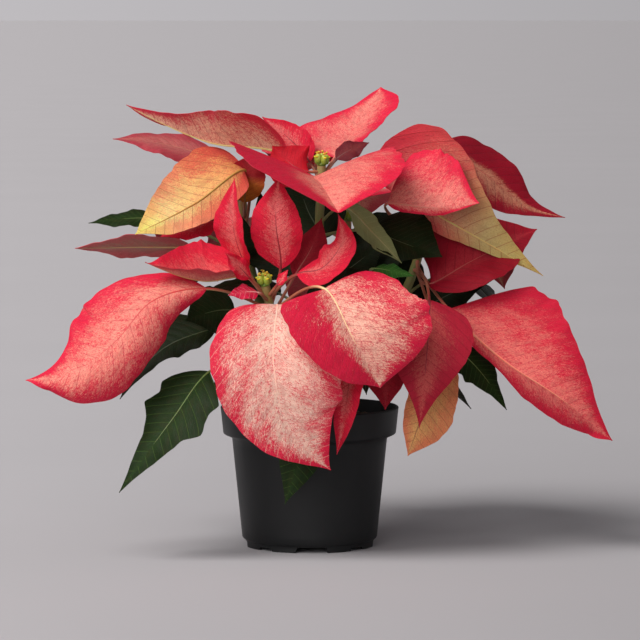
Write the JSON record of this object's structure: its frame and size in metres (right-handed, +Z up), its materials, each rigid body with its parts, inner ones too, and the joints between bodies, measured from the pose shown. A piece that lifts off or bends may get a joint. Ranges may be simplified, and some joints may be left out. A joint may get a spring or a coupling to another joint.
{
  "type": "potted poinsettia",
  "caption": "House plant with large red bracts in layered blooms on branched stems, standing in a round tapered plastic nursery pot with a banded rim.",
  "frame": {"origin": "centre of the underside of the pot, on the surface that the pot stands on", "axes": "+Z up, -Y towards the side that the plant is seen from, +X to the right from there"},
  "size_m": [0.3865, 0.2901, 0.3073],
  "materials": {
    "pot_plastic": "charcoal black moulded plastic with a satin sheen",
    "soil": "dark brown crumbly potting mix",
    "leaf": "dark green leaves with pale veins, satin",
    "bract": "red bracts mottled with pale pink along the middle, soft satin",
    "cyathia": "yellow-green cups with yellow glands, satin"
  },
  "bodies": {
    "root": {"pot": "pot_plastic", "soil": "soil", "leafy_stem": "leaf", "bloom_front": "bract", "bloom_top": "bract", "bloom_left": "bract", "bloom_right": "bract", "bloom_back": "bract", "cyathia_front": "cyathia", "cyathia_top": "cyathia", "cyathia_left": "cyathia", "cyathia_right": "cyathia", "cyathia_back": "cyathia"}
  },
  "joints": []
}
